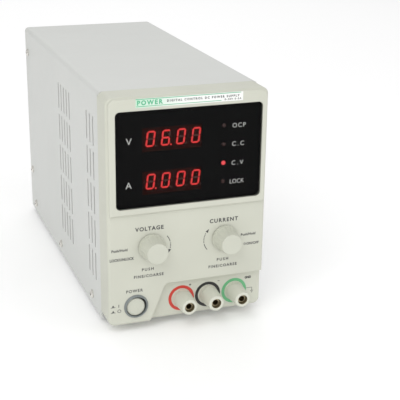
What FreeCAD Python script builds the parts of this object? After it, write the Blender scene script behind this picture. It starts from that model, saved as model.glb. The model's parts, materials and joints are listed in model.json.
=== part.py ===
"""Bench power supply: a narrow upright linear DC supply, built as separate pieces.

Millimetres. X is to the right, Y runs from the front to the back, Z is up. Lengths along Y are measured
from the face of the display frame; every piece's Placement then moves it so that the origin is under
the middle of the whole object, on the plane that the feet stand on.
"""
import FreeCAD, Part

import math
import os

import Sketcher
from FreeCAD import Placement, Rotation, Vector

DOC = FreeCAD.newDocument("bench_power_supply")

# alias: size in millimetres, degrees where the name says angle, a plain count where it says count
DIMENSIONS = {
    # case
    "case_width": 110.0, "case_height": 158.0, "case_depth": 260.0, "case_bend": 3.2,
    "steel": 1.0, "fit_gap": 0.15, "foot_height": 4.0, "flange_height": 15.0,
    "middle_depth": 125.65,
    # side vents: slots in rows and columns, in a front and a rear field
    "slot_width": 2.5, "slot_height": 20.0, "slot_row_pitch": 24.0, "slot_column_pitch": 8.45,
    "slot_bottom": 27.0, "front_slot_depth": 34.0, "rear_slot_depth": 101.6,
    "slot_row_count": 5.0, "front_slot_count": 3.0, "rear_slot_count": 5.0,
    # machine screws
    "screw_radius": 1.45, "screw_head_radius": 3.0, "screw_head_height": 1.7, "screw_length": 6.0,
    "screw_recess": 0.7, "side_screw_height": 11.8, "side_screw_first": 45.0, "side_screw_pitch": 97.5,
    "rear_screw_inset": 10.0, "rear_screw_low": 40.0, "rear_screw_high": 142.6,
    # front bezel
    "bezel_depth": 21.5, "bezel_lift": 2.0, "bezel_wall": 2.5, "bezel_corner": 4.5, "bezel_round": 2.2,
    "panel_setback": 1.8, "frame_width": 107.4, "frame_bottom": 84.3, "frame_top": 161.2,
    "frame_corner": 4.5, "frame_round": 1.1, "lip_depth": 5.0,
    "window_width": 99.6, "window_height": 64.6, "window_middle": 120.9, "window_shift": 0.5,
    "window_corner": 3.0, "window_bevel": 0.35, "window_thickness": 1.8, "window_ledge": 2.5,
    "mask_thickness": 0.2,
    "recess_depth": 4.0, "recess_top": 32.8, "recess_left": -15.6, "recess_foot": -26.4,
    "recess_corner": 4.0,
    # display board
    "board_front": 11.0, "board_thickness": 1.6, "board_width": 100.0, "board_bottom": 37.0,
    "board_top": 158.6, "boss_radius": 3.2, "boss_spread": 46.5, "boss_low": 41.0, "boss_high": 155.6,
    "display_width": 40.0, "display_height": 15.8, "display_thickness": 8.5, "display_x": -11.25,
    "display_high": 133.4, "display_low": 104.7,
    "led_x": 24.2, "led_radius": 1.5, "led_top": 138.8, "led_pitch": 12.7, "led_tip": 2.25,
    # rotary encoders and knobs
    "knob_reach": 25.75, "knob_shift": 0.45, "knob_z": 60.5, "knob_base_radius": 9.1,
    "knob_face_radius": 7.3, "knob_front": -12.0, "knob_back": 1.0, "flute_count": 18.0,
    "flute_depth": 0.25, "flute_radius": 5.8,
    "shaft_radius": 3.0, "running_gap": 0.05, "press_travel": 0.5,
    "encoder_width": 12.4, "encoder_depth": 6.5, "bush_radius": 3.5, "rotor_radius": 4.8,
    # mains button and switch
    "power_x": -36.1, "power_z": 18.9, "power_ring_radius": 8.4, "power_ring_height": 1.5,
    "power_well_radius": 7.05, "power_button_radius": 6.3, "button_left": 0.3, "button_drop": 0.35,
    "power_face": 1.05, "button_length": 9.0, "switch_width": 15.0, "switch_length": 21.0,
    "switch_height": 12.0, "plunger_side": 4.0,
    # binding posts
    "post_middle_x": 16.6, "post_pitch": 19.05, "post_z": 18.4, "socket_radius": 2.0,
    "socket_depth": 10.8, "post_thread_radius": 3.0, "post_cap_front": -10.7, "post_cap_back": 3.7,
    "post_cap_radius": 6.6, "post_tip_radius": 5.4, "post_mouth_radius": 3.25,
    # transformer
    "core_width": 96.0, "core_stack": 56.0, "core_height": 80.0, "core_front": 62.0, "core_limb": 16.0,
    "coil_overhang": 14.0, "core_lift": 4.0,
    # power board, heat sink and fan
    "main_board_front": 142.0, "main_board_length": 84.0, "main_board_width": 82.0, "standoff": 8.0,
    "sink_width": 88.0, "sink_front": 160.0, "sink_length": 66.0, "sink_base_z": 86.0,
    "sink_base": 6.0, "fin_height": 52.0, "fin_thickness": 1.6, "fin_count": 12.0,
    "fan_size": 60.0, "fan_depth": 25.0, "fan_z": 120.0, "fan_bore": 28.5, "fan_hub": 12.5,
    "fan_hole_pitch": 50.0, "guard_wire": 0.8, "blade_count": 7.0,
    # mains inlet with fuse drawer, voltage selector
    "inlet_x": 26.0, "inlet_z": 36.0, "inlet_width": 28.0, "inlet_height": 34.0, "inlet_depth": 26.0,
    "inlet_flange": 2.5, "drawer_width": 20.0, "drawer_height": 8.0, "drawer_length": 22.0,
    "selector_x": -26.0, "selector_z": 36.0, "selector_travel": 5.0,
}


class Size:
    """A length that knows both its value and the expression that binds it to the spreadsheet."""

    def __init__(self, text, value):
        self.text, self.value = text, value

    def _with(self, other, sign, result):
        return Size(f"({self.text} {sign} {words(other)})", result)

    def __add__(self, other):
        return self._with(other, "+", self.value + number(other))

    def __sub__(self, other):
        return self._with(other, "-", self.value - number(other))

    def __mul__(self, other):
        return self._with(other, "*", self.value * number(other))

    def __truediv__(self, other):
        return self._with(other, "/", self.value / number(other))

    def __radd__(self, other):
        return Size(words(other), other) + self

    def __rsub__(self, other):
        return Size(words(other), other) - self

    def __rmul__(self, other):
        return self * other

    def __neg__(self):
        return self * -1


def words(size):
    return size.text if isinstance(size, Size) else f"({float(size)!r})"


def number(size):
    return size.value if isinstance(size, Size) else float(size)


class Dimensions:
    """The spreadsheet, one alias to a row, read as attributes."""

    def __init__(self, table):
        sheet = DOC.addObject("Spreadsheet::Sheet", "dims")
        for row, (alias, value) in enumerate(table.items(), start=1):
            sheet.set(f"A{row}", alias)
            sheet.set(f"B{row}", str(value))
            sheet.setAlias(f"B{row}", alias)
            setattr(self, alias, Size(f"dims.{alias}", value))
        DOC.recompute()


d = Dimensions(DIMENSIONS)
SUB_PARTS = []

# ---------------------------------------------------------------- levels that many pieces share

half_width = d.case_width / 2
case_floor = d.foot_height
case_top = d.foot_height + d.case_height
bezel_floor = case_floor + d.bezel_lift
panel_face = d.panel_setback
panel_back = panel_face + d.bezel_wall
recess_face = panel_face + d.recess_depth
recess_back = recess_face + d.bezel_wall
window_face = d.window_bevel
window_back = window_face + d.window_thickness
rear_face = d.case_depth
rear_inside = rear_face - d.steel
floor_top = case_floor + d.steel
switch_front = d.power_face + d.button_length + 4
button_x = d.power_x - d.button_left
button_z = d.power_z - d.button_drop
TURNS = {"x": Rotation(Vector(0, 1, 0), 90), "y": Rotation(Vector(1, 0, 0), -90), "z": Rotation()}

# ---------------------------------------------------------------- helpers


def bind(thing, path, size):
    thing.setExpression(path, words(size))


def place(thing, x=0, y=0, z=0, turn=None):
    if turn is not None:
        thing.Placement = Placement(Vector(), turn)
    for axis, size in zip("xyz", (x, y, z)):
        bind(thing, f"Placement.Base.{axis}", size)
    return thing


def box(name, low, high):
    """A block between two corners."""
    made = DOC.addObject("Part::Box", name)
    for side, start, end in zip(("Length", "Width", "Height"), low, high):
        bind(made, side, end - start)
    return place(made, *low)


def rod(name, radius, length, start, axis="z"):
    made = DOC.addObject("Part::Cylinder", name)
    bind(made, "Radius", radius)
    bind(made, "Height", length)
    return place(made, *start, turn=TURNS[axis])


def fuse(name, pieces):
    made = DOC.addObject("Part::MultiFuse", name)
    made.Shapes = list(pieces)
    made.Refine = True
    return made


def cut(name, base, tools):
    tools = list(tools)
    made = DOC.addObject("Part::Cut", name)
    made.Base = base
    made.Tool = tools[0] if len(tools) == 1 else fuse(name + "_tools", tools)
    return made


def gather(name, pieces):
    """Several separate solids that make one group, such as a set of screws."""
    made = DOC.addObject("Part::Compound", name)
    made.Links = list(pieces)
    return made


def finish(label, thing, x=0, y=0, z=0):
    """Names a sub-part and places it in the object's frame. A lone block or rod keeps its place inside."""
    if thing.TypeId in ("Part::Box", "Part::Cylinder"):
        thing = gather(label + "_solid", [thing])
    thing.Label = label
    place(thing, x, y - d.middle_depth, z)
    SUB_PARTS.append(thing)
    return thing


def copies(label, source, spots, turn=None):
    """Copies of one shape that follow it, each with its own place."""
    made = []
    for i, (x, y, z) in enumerate(spots):
        link = DOC.addObject("Part::Compound", f"{label}_{i}")
        link.Links = [source]
        made.append(place(link, x, y, z, turn=turn))
    return made


def new_body(name):
    return DOC.addObject("PartDesign::Body", name)


def plane_of(body, role):
    return next(f for f in body.Origin.OriginFeatures if f.Role == role + "_Plane")


def new_sketch(body, role, level=0):
    """A sketch on one of the body's own planes. Level is the height above XY, or the depth of XZ and YZ."""
    sketch = body.newObject("Sketcher::SketchObject", f"{body.Name}_sketch")
    sketch.AttachmentSupport = [(plane_of(body, role), "")]
    sketch.MapMode = "FlatFace"
    bind(sketch, "AttachmentOffset.Base.z", -level if role == "XZ" else level)
    return sketch


def add_outline(sketch, corners):
    """A closed outline of straight sides through corners, each held by its two distances."""
    first = sketch.GeometryCount
    spots = [Vector(number(x), number(y), 0) for x, y in corners]
    for i, spot in enumerate(spots):
        sketch.addGeometry(Part.LineSegment(spot, spots[(i + 1) % len(spots)]))
    for i, (x, y) in enumerate(corners):
        side, after = first + i, first + (i + 1) % len(corners)
        sketch.addConstraint(Sketcher.Constraint("Coincident", side, 2, after, 1))
        for kind, size in (("DistanceX", x), ("DistanceY", y)):
            index = sketch.addConstraint(Sketcher.Constraint(kind, -1, 1, side, 1, number(size)))
            sketch.setExpression(f"Constraints[{index}]", words(size))
    return sketch


def add_rounded(sketch, left, right, low, high, radius):
    """A rectangle whose four corners are arcs of one radius, tangent to its sides."""
    first = sketch.GeometryCount
    x0, x1, y0, y1, r = (number(size) for size in (left, right, low, high, radius))
    sides = [((x0 + r, y0), (x1 - r, y0)), ((x1, y0 + r), (x1, y1 - r)),
             ((x1 - r, y1), (x0 + r, y1)), ((x0, y1 - r), (x0, y0 + r))]
    centres = [(x1 - r, y0 + r), (x1 - r, y1 - r), (x0 + r, y1 - r), (x0 + r, y0 + r)]
    for i, ((start, end), centre) in enumerate(zip(sides, centres)):
        sketch.addGeometry(Part.LineSegment(Vector(*start, 0), Vector(*end, 0)))
        circle = Part.Circle(Vector(*centre, 0), Vector(0, 0, 1), r)
        sketch.addGeometry(Part.ArcOfCircle(circle, math.pi / 2 * (i - 1), math.pi / 2 * i))
    for i in range(4):
        side, arc, after = first + 2 * i, first + 2 * i + 1, first + (2 * i + 2) % 8
        sketch.addConstraint(Sketcher.Constraint("Tangent", side, 2, arc, 1))
        sketch.addConstraint(Sketcher.Constraint("Tangent", arc, 2, after, 1))
        sketch.addConstraint(Sketcher.Constraint("Vertical" if i % 2 else "Horizontal", side))
    sized = [("DistanceY", first, low), ("DistanceX", first + 2, right),
             ("DistanceY", first + 4, high), ("DistanceX", first + 6, left)]
    for kind, side, size in sized:
        index = sketch.addConstraint(Sketcher.Constraint(kind, -1, 1, side, 1, number(size)))
        sketch.setExpression(f"Constraints[{index}]", words(size))
    for i in range(4):
        index = sketch.addConstraint(Sketcher.Constraint("Radius", first + 2 * i + 1, r))
        sketch.setExpression(f"Constraints[{index}]", words(radius))
    return sketch


def add_route(sketch, corners, bend):
    """An open path of straight runs whose corners are rounded by one bend radius."""
    points = [Vector(x, y, 0) for x, y in corners]
    start = points[0]
    for before, corner, after in zip(points, points[1:], points[2:]):
        inward, outward = (corner - before).normalize(), (after - corner).normalize()
        turn = inward.getAngle(outward)
        reach = bend * math.tan(turn / 2)
        first, last = corner - inward * reach, corner + outward * reach
        half = (outward - inward).normalize()
        peak = corner + half * (bend / math.cos(turn / 2) - bend)
        sketch.addGeometry(Part.LineSegment(start, first))
        sketch.addGeometry(Part.Arc(first, peak, last))
        start = last
    sketch.addGeometry(Part.LineSegment(start, points[-1]))
    for i in range(sketch.GeometryCount):
        sketch.addConstraint(Sketcher.Constraint("Block", i))
    return sketch


def add_circle(sketch, x, y, radius):
    centre = Vector(number(x), number(y), 0)
    circle = sketch.addGeometry(Part.Circle(centre, Vector(0, 0, 1), number(radius)))
    for kind, size in (("DistanceX", x), ("DistanceY", y)):
        index = sketch.addConstraint(Sketcher.Constraint(kind, -1, 1, circle, 3, number(size)))
        sketch.setExpression(f"Constraints[{index}]", words(size))
    index = sketch.addConstraint(Sketcher.Constraint("Radius", circle, number(radius)))
    sketch.setExpression(f"Constraints[{index}]", words(radius))
    return sketch


def rectangle(left, right, low, high):
    return [(left, low), (right, low), (right, high), (left, high)]


def pad(body, sketch, length, back=True):
    """Adds material behind the sketch, or in front of it."""
    made = body.newObject("PartDesign::Pad", f"{body.Name}_pad")
    made.Profile = sketch
    made.Reversed = back
    bind(made, "Length", length)
    DOC.recompute()
    return made


def pocket(body, sketch, length=None, back=True):
    """Cuts behind the sketch, or in front of it. With no length it cuts through everything, both ways."""
    before = body.Shape.Volume
    made = body.newObject("PartDesign::Pocket", f"{body.Name}_pocket")
    made.Profile = sketch
    if length is None:
        made.Type = 1
        made.Midplane = True
    else:
        made.Reversed = not back
        bind(made, "Length", length)
    DOC.recompute()
    if before - body.Shape.Volume < 1e-3:
        raise ValueError(f"a pocket in {body.Name} cuts nothing")
    return made


def lathe(name, corners):
    """A turned piece: its half outline, as (radius, depth) corners, turned round the Y axis."""
    body = new_body(name)
    sketch = add_outline(new_sketch(body, "XY"), corners)
    made = body.newObject("PartDesign::Revolution", f"{name}_turning")
    made.Profile = sketch
    made.ReferenceAxis = (sketch, ["V_Axis"])
    made.Angle = 360
    DOC.recompute()
    return body


def edges_of(body, test):
    return [f"Edge{i}" for i, edge in enumerate(body.Tip.Shape.Edges, start=1) if test(edge)]


def dress(body, kind, size, test):
    """Rounds or bevels the edges of the body that pass the test."""
    names = edges_of(body, test)
    if not names:
        raise ValueError(f"no edge of {body.Name} passes the test for its {kind}")
    made = body.newObject(f"PartDesign::{kind}", f"{body.Name}_{kind.lower()}")
    made.Base = (body.Tip if body.Tip != made else made.BaseFeature, names)
    bind(made, "Radius" if kind == "Fillet" else "Size", size)
    DOC.recompute()
    if "Invalid" in made.State:
        raise ValueError(f"the {kind} of {body.Name} by {words(size)} fails")
    return made


def near(a, b, slack=0.02):
    return abs(a - number(b)) < slack


def edge_on(edge, axis, level):
    """Whether every point of an edge is at this level along an axis."""
    return all(near(getattr(edge.valueAt(t), axis), level) for t in (
        edge.FirstParameter, (edge.FirstParameter + edge.LastParameter) / 2, edge.LastParameter))


def runs_along(edge, axis):
    ends = [edge.valueAt(edge.FirstParameter), edge.valueAt(edge.LastParameter)]
    return all(near(getattr(ends[0], other), getattr(ends[1], other)) for other in "xyz".replace(axis, ""))


def middle(edge):
    return edge.valueAt((edge.FirstParameter + edge.LastParameter) / 2)


# ---------------------------------------------------------------- fasteners


def screw_blank(name, length):
    """A pan-head screw along +Y with its head's underside at 0 and a cross recess."""
    r, head, h = d.screw_radius, d.screw_head_radius, d.screw_head_height
    corners = [(0, length), (r - 0.4, length), (r, length - 0.5), (r, 0), (head, 0), (head, -h * 0.45),
               (head * 0.8, -h * 0.85), (head * 0.45, -h), (0, -h)]
    turned = lathe(name + "_turned", corners)
    arm, slim, deep = head * 0.62, 0.42, d.screw_recess
    slots = [
        box(name + "_slot_a", (-arm, -h - 0.1, -slim), (arm, -h + deep, slim)),
        box(name + "_slot_b", (-slim, -h - 0.1, -arm), (slim, -h + deep, arm)),
    ]
    return cut(name, turned, slots)


def side_screw_spots():
    """Depth and height of the screws on each side of the cover."""
    along = [(d.side_screw_first + d.side_screw_pitch * i, d.side_screw_height) for i in range(3)]
    rear = rear_face - d.rear_screw_inset
    return along + [(rear, d.rear_screw_low), (rear, d.rear_screw_high)]


def cover_screws():
    screw = screw_blank("cover_screw", d.screw_length)
    leads_right, leads_left = Rotation(Vector(0, 0, 1), -90), Rotation(Vector(0, 0, 1), 90)
    left = copies("left_screw", screw, [(-half_width, y, z) for y, z in side_screw_spots()], leads_right)
    right = copies("right_screw", screw, [(half_width, y, z) for y, z in side_screw_spots()], leads_left)
    finish("cover_screws", gather("cover_screw_set", left + right))


def machine_screws():
    """The short screws of the feet, the display board, the selector, the transformer and the power board."""
    screw = screw_blank("machine_screw", d.screw_length - 1)
    up, down = Rotation(Vector(1, 0, 0), 90), Rotation(Vector(1, 0, 0), -90)
    forwards = Rotation(Vector(0, 0, 1), 180)
    board_back = d.board_front + d.board_thickness
    deck = floor_top + d.standoff + d.board_thickness
    sets = [
        copies("foot_screw", screw, [(x, y, d.foot_height * 0.55) for x, y in foot_spots()], up),
        copies("board_screw", screw, [(x, board_back, z) for x, z in board_screw_spots()], forwards),
        copies("selector_screw", screw, [(x, rear_face, d.selector_z) for x in selector_screw_x()], forwards),
        copies("core_screw", screw, [(x, y, floor_top + d.core_lift) for x, y in core_bolt_spots()], down),
        copies("deck_screw", screw, [(x, y, deck) for x, y in standoff_spots()], down),
    ]
    finish("machine_screws", gather("machine_screw_set", sum(sets, [])))


def selector_screw_x():
    return [d.selector_x - 14, d.selector_x + 14]


# ---------------------------------------------------------------- case


def vent_slots(body, first_depth, columns):
    """One rounded vent slot through both sides, repeated in rows and columns."""
    low, half = d.slot_bottom, d.slot_width / 2
    sketch = new_sketch(body, "YZ")
    add_rounded(sketch, first_depth - half, first_depth + half, low, low + d.slot_height, half * 0.96)
    slot = pocket(body, sketch)
    steps = []
    for axis, count, pitch in (("V_Axis", d.slot_row_count, d.slot_row_pitch),
                               ("H_Axis", columns, d.slot_column_pitch)):
        pattern = body.newObject("PartDesign::LinearPattern", f"{body.Name}_{axis}")
        pattern.Direction = (sketch, [axis])
        bind(pattern, "Length", pitch * (count - 1))
        bind(pattern, "Occurrences", count)
        steps.append(pattern)
    grid = body.newObject("PartDesign::MultiTransform", f"{body.Name}_grid")
    grid.Originals = [slot]
    grid.Transformations = steps
    body.Tip = grid
    DOC.recompute()


def top_cover():
    """The painted cover: a folded channel with the side vents and clearance holes for its screws."""
    body = new_body("cover")
    t = d.steel
    low, top = case_floor, case_top
    corners = [(-half_width, low), (-half_width + t, low), (-half_width + t, top - t),
               (half_width - t, top - t), (half_width - t, low), (half_width, low), (half_width, top),
               (-half_width, top)]
    sketch = add_outline(new_sketch(body, "XZ", d.bezel_depth + d.fit_gap), corners)
    pad(body, sketch, rear_face - d.bezel_depth - d.fit_gap)
    dress(body, "Fillet", d.case_bend, lambda e: runs_along(e, "y") and near(middle(e).z, case_top))
    dress(body, "Fillet", d.case_bend - t,
          lambda e: runs_along(e, "y") and near(middle(e).z, case_top - t)
          and near(abs(middle(e).x), half_width - t))
    vent_slots(body, d.front_slot_depth, d.front_slot_count)
    vent_slots(body, d.rear_slot_depth, d.rear_slot_count)
    holes = new_sketch(body, "YZ")
    for y, z in side_screw_spots():
        add_circle(holes, y, z, d.screw_radius + 0.15)
    pocket(body, holes)
    finish("top_cover", body)


def bottom_chassis():
    """The base tray: a shallow channel whose flanges take the lower cover screws."""
    body = new_body("chassis")
    t, out = d.steel, half_width - d.steel - d.fit_gap
    low, top = case_floor, case_floor + d.flange_height
    corners = [(-out, low), (out, low), (out, top), (out - t, top), (out - t, low + t), (-out + t, low + t),
               (-out + t, top), (-out, top)]
    front = d.bezel_depth + d.lip_depth + 1
    sketch = add_outline(new_sketch(body, "XZ", front), corners)
    pad(body, sketch, rear_inside - d.fit_gap - front)
    dress(body, "Fillet", 1.2, lambda e: runs_along(e, "y") and near(middle(e).z, case_floor))
    side_holes = new_sketch(body, "YZ")
    for y, z in side_screw_spots()[:3]:
        add_circle(side_holes, y, z, d.screw_radius + 0.05)
    pocket(body, side_holes)
    floor_holes = new_sketch(body, "XY", floor_top)
    for x, y in foot_spots() + core_bolt_spots() + standoff_spots():
        add_circle(floor_holes, x, y, d.screw_radius + 0.05)
    pocket(body, floor_holes, t)
    finish("bottom_chassis", fuse("chassis_whole", [body] + switch_tab()))


def switch_tab():
    """The cranked tab, welded to the tray, that carries the mains switch."""
    left, right = button_x - d.switch_width / 2, button_x + d.switch_width / 2
    deck = button_z - d.switch_height / 2
    back = switch_front + d.switch_length
    return [
        box("tab_shelf", (left, switch_front, deck - 1.2), (right, back, deck)),
        box("tab_leg", (left, back - 1.2, floor_top - 0.2), (right, back, deck - 1)),
        box("tab_foot", (left, back - 1.2, floor_top - 0.2), (right, back + 8, floor_top + 1.2)),
    ]


def foot_spots():
    reach = d.case_width * 0.35
    return [(x, y) for x in (-reach, reach) for y in (d.bezel_depth + 25, rear_face - 26)]


def rubber_feet():
    """Four turned rubber feet with a counterbore for the screw that holds each to the tray."""
    h = d.foot_height
    foot = lathe("foot", [(d.screw_radius + 0.05, 0), (8, 0), (7, h), (d.screw_head_radius + 0.5, h),
                          (d.screw_head_radius + 0.5, h * 0.45), (d.screw_radius + 0.05, h * 0.45)])
    dress(foot, "Fillet", 0.8, lambda e: near(middle(e).y, h) and edge_on(e, "y", h)
          and abs(math.hypot(middle(e).x, middle(e).z) - 7) < 0.05)
    downwards = Rotation(Vector(1, 0, 0), -90)
    feet = copies("foot_copy", foot, [(x, y, h) for x, y in foot_spots()], downwards)
    finish("rubber_feet", gather("foot_set", feet))


def rear_panel():
    """The rear wall with its two flanges, fan opening, and cut-outs for the inlet and the selector."""
    body = new_body("rear")
    t, out, gap = d.steel, half_width - d.steel - d.fit_gap, d.fit_gap
    deep = 18
    corners = [(-out, rear_face - deep), (-out + t, rear_face - deep), (-out + t, rear_inside),
               (out - t, rear_inside), (out - t, rear_face - deep), (out, rear_face - deep),
                (out, rear_face),
               (-out, rear_face)]
    low = case_floor + d.flange_height + gap
    sketch = add_outline(new_sketch(body, "XY", low), corners)
    pad(body, sketch, case_top - t - gap - low, back=False)
    dress(body, "Fillet", 1.2, lambda e: runs_along(e, "z") and near(middle(e).y, rear_face))
    bevels, crest, snip = new_sketch(body, "XZ"), case_top - t - gap, 1.6
    for x, inward in ((-out, snip), (out, -snip)):
        add_outline(bevels, [(x, crest), (x + inward, crest), (x, crest - snip)])
    pocket(body, bevels)
    apron = add_outline(new_sketch(body, "XZ", rear_inside),
                        rectangle(-out + t + gap, out - t - gap, case_floor, low + 1))
    pad(body, apron, t)
    openings = new_sketch(body, "XZ", rear_face)
    add_circle(openings, 0, d.fan_z, d.fan_bore)
    for x in (-d.fan_hole_pitch / 2, d.fan_hole_pitch / 2):
        for z in (d.fan_z - d.fan_hole_pitch / 2, d.fan_z + d.fan_hole_pitch / 2):
            add_circle(openings, x, z, d.screw_radius + 0.1)
    w, h = d.inlet_width / 2 + 0.1, d.inlet_height / 2 + 0.1
    add_outline(openings, rectangle(d.inlet_x - w, d.inlet_x + w, d.inlet_z - h, d.inlet_z + h))
    add_outline(openings, rectangle(d.selector_x - 9, d.selector_x + 9, d.selector_z - 5, d.selector_z + 5))
    for x in selector_screw_x():
        add_circle(openings, x, d.selector_z, d.screw_radius + 0.05)
    pocket(body, openings, t + 1, back=False)
    side_holes = new_sketch(body, "YZ")
    for y, z in side_screw_spots()[3:]:
        add_circle(side_holes, y, z, d.screw_radius + 0.05)
    pocket(body, side_holes)
    finish("rear_panel", body)


# ---------------------------------------------------------------- front bezel


def post_x(i):
    return d.post_middle_x + d.post_pitch * (i - 1)


def front_bezel():
    """The moulded front: a hollow tray, a raised display frame above and a set-back terminal bay below."""
    body = new_body("bezel")
    outline = rectangle(-half_width, half_width, bezel_floor, case_top)
    shell = add_outline(new_sketch(body, "XZ", panel_face), outline)
    pad(body, shell, d.bezel_depth - panel_face)
    dress(body, "Fillet", d.bezel_corner, lambda e: runs_along(e, "y"))
    dress(body, "Fillet", d.bezel_round, lambda e: edge_on(e, "y", panel_face))
    raise_frame(body)
    cut_terminal_bay(body)
    hollow_out(body)
    cut_window(body)
    pierce_panel(body)
    add_bosses(body)
    add_lip(body)
    finish("front_bezel", body)


def raise_frame(body):
    """The display frame stands out from the panel. Its upper corners are round and its lower ones square."""
    half, root = d.frame_width / 2, panel_face + d.bezel_round
    low, top = d.frame_bottom, d.frame_top
    pad(body, add_rounded(new_sketch(body, "XZ", 0), -half, half, low, top, d.frame_corner), root)
    lower_part = rectangle(-half, half, low, low + 2 * d.frame_corner)
    pad(body, add_outline(new_sketch(body, "XZ", 0), lower_part), root)
    dress(body, "Fillet", d.frame_round, lambda e: edge_on(e, "y", 0))


def cut_terminal_bay(body):
    """The bay is open to the right and below, and its left side slopes outwards as it goes down."""
    past = half_width + 2
    bay = add_outline(new_sketch(body, "XZ", 0), [
        (d.recess_foot, bezel_floor), (d.recess_foot, bezel_floor - 2), (past, bezel_floor - 2),
        (past, d.recess_top), (d.recess_left, d.recess_top)])
    pocket(body, bay, recess_face)
    dress(body, "Fillet", d.recess_corner,
          lambda e: runs_along(e, "y") and near(middle(e).x, d.recess_left)
                    and near(middle(e).z, d.recess_top))
    dress(body, "Fillet", 1.2, lambda e: edge_on(e, "y", recess_face)
          and (near(middle(e).x, half_width) or near(middle(e).z, bezel_floor) or is_low_right_corner(e)))


def is_low_right_corner(edge):
    spot, r = middle(edge), number(d.bezel_corner)
    return spot.x > number(half_width) - r and spot.z < number(bezel_floor) + r


def hollow_out(body):
    wall = d.bezel_wall
    out, low, top = half_width - wall, bezel_floor + wall, case_top - wall
    main = add_outline(new_sketch(body, "XZ", d.bezel_depth), rectangle(-out, out, low, top))
    pocket(body, main, d.bezel_depth - recess_back, back=False)
    upper = add_outline(new_sketch(body, "XZ", recess_back),
                        rectangle(-out, out, d.recess_top + wall, top))
    pocket(body, upper, recess_back - panel_back, back=False)
    corner = add_outline(new_sketch(body, "XZ", recess_back),
                         rectangle(-out, d.recess_foot - wall, low, d.recess_top + wall))
    pocket(body, corner, recess_back - panel_back, back=False)


def cut_window(body):
    """The opening: a seat for the lens, a narrower hole behind it, and a small bevel in front."""
    pocket(body, add_window(new_sketch(body, "XZ", 0), 0, d.window_corner), window_back + d.mask_thickness)
    pocket(body, add_window(new_sketch(body, "XZ", 0), d.window_ledge, 1), panel_back + 1)
    half_w, half_h = number(d.window_width / 2) + 0.1, number(d.window_height / 2) + 0.1
    middle_x, middle_z = number(d.window_shift), number(d.window_middle)
    dress(body, "Chamfer", d.window_bevel,
          lambda e: edge_on(e, "y", 0) and abs(middle(e).x - middle_x) < half_w
          and abs(middle(e).z - middle_z) < half_h)


def add_window(sketch, inset, corner):
    half_w, half_h = d.window_width / 2 - inset, d.window_height / 2 - inset
    x, z = d.window_shift, d.window_middle
    return add_rounded(sketch, x - half_w, x + half_w, z - half_h, z + half_h, corner)


def pierce_panel(body):
    holes = new_sketch(body, "XZ", 0)
    for _, x in knob_spots():
        add_circle(holes, x, d.knob_z, d.bush_radius + 0.2)
    add_circle(holes, d.power_x, d.power_z, d.power_well_radius + 0.75)
    for i in range(3):
        add_circle(holes, post_x(i), d.post_z, d.post_thread_radius + 1.0)
    pocket(body, holes, recess_back + 1)


def add_bosses(body):
    bosses = new_sketch(body, "XZ", panel_back - 0.5)
    for x in (-d.boss_spread, d.boss_spread):
        for z in (d.boss_low, d.boss_high):
            add_circle(bosses, x, z, d.boss_radius)
    pad(body, bosses, d.board_front - panel_back + 0.5)
    bores = new_sketch(body, "XZ", d.board_front)
    for x in (-d.boss_spread, d.boss_spread):
        for z in (d.boss_low, d.boss_high):
            add_circle(bores, x, z, d.screw_radius + 0.05)
    pocket(body, bores, d.screw_length, back=False)


def add_lip(body):
    """A lip behind the bezel's rim that the cover slides over."""
    out = half_width - d.steel - d.fit_gap * 2
    low, top = case_floor + d.bezel_wall + 1, case_top - d.steel - d.fit_gap * 2
    thick = d.bezel_wall - d.steel + 0.6
    lip = new_sketch(body, "XZ", d.bezel_depth - 2)
    add_rounded(lip, -out, out, low, top, d.case_bend)
    add_rounded(lip, -out + thick, out - thick, low + thick, top - thick, d.case_bend - 1.5)
    pad(body, lip, d.lip_depth + 2)


def window_and_mask():
    """The clear lens, and behind it the opaque printed mask with its apertures."""
    lens = new_body("lens")
    pad(lens, add_window(new_sketch(lens, "XZ", window_face), 0.1, d.window_corner), d.window_thickness)
    finish("display_window", lens)
    mask = new_body("mask")
    pad(mask, add_window(new_sketch(mask, "XZ", window_back), 0.1, d.window_corner), d.mask_thickness)
    apertures = new_sketch(mask, "XZ", window_back)
    for z in (d.display_high, d.display_low):
        x, w, h = d.display_x, d.display_width / 2, d.display_height / 2
        add_outline(apertures, rectangle(x - w, x + w, z - h, z + h))
    for i in range(4):
        add_circle(apertures, d.led_x, d.led_top - d.led_pitch * i, d.led_radius + 0.15)
    pocket(mask, apertures, d.mask_thickness)
    finish("window_mask", mask)


# ---------------------------------------------------------------- display board


def display_board():
    out = d.board_width / 2
    board = box("front_board_blank", (-out, d.board_front, d.board_bottom),
                (out, d.board_front + d.board_thickness, d.board_top))
    holes = [rod(f"board_hole_{i}", d.screw_radius + 0.15, d.board_thickness + 2,
                 (x, d.board_front - 1, z), "y")
             for i, (x, z) in enumerate(board_screw_spots())]
    finish("display_board", cut("front_board", board, holes))


def board_screw_spots():
    return [(x, z) for x in (-d.boss_spread, d.boss_spread) for z in (d.boss_low, d.boss_high)]


def readouts():
    """Two four-digit seven-segment modules: dark blocks, flush against the board."""
    w, h = d.display_width / 2 + 0.1, d.display_height / 2
    blocks = [box(f"readout_{i}", (d.display_x - w, d.board_front - d.display_thickness, z - h),
                  (d.display_x + w, d.board_front, z + h))
              for i, z in enumerate((d.display_high, d.display_low))]
    finish("readouts", gather("readout_pair", blocks))


def lamp(name, z):
    """A 3 mm indicator: rim, barrel and dome, its dome at the front."""
    r = d.led_radius
    reach = d.board_front - d.led_tip
    dome = [(r, -reach + r), (r * 0.92, -reach + r * 0.6), (r * 0.7, -reach + r * 0.28),
            (r * 0.38, -reach + r * 0.07), (0, -reach)]
    barrel = lathe(name, [(0, 0), (r + 0.4, 0), (r + 0.4, -0.8), (r, -0.8)] + dome)
    return place(barrel, d.led_x, d.board_front, z)


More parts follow.
